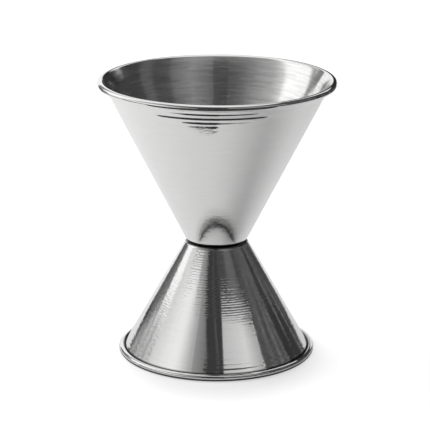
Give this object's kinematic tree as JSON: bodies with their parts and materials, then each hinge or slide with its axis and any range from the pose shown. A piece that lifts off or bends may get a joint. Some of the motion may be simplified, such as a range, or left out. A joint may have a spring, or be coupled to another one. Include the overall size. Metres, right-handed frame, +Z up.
{
  "type": "bar jigger",
  "caption": "Double-ended conical bar jigger in stainless steel, a larger cup above a smaller one, welded base to base, with curled rims, for measuring spirits.",
  "frame": {"origin": "centre of the ring that the small cup's rim stands on", "axes": "+Z up the common axis of the two cups, out of the large cup's mouth"},
  "size_m": [0.0592, 0.0592, 0.0703],
  "materials": {
    "satin_stainless": "satin, brushed round the cone inside and out, with a polished bead",
    "turned_stainless": "bright, with fine turned rings, and a polished bead",
    "weld_steel": "dull, as fused"
  },
  "bodies": {
    "root": {"large_cup": "satin_stainless", "small_cup": "turned_stainless", "weld_nuggets": "weld_steel"}
  },
  "joints": []
}
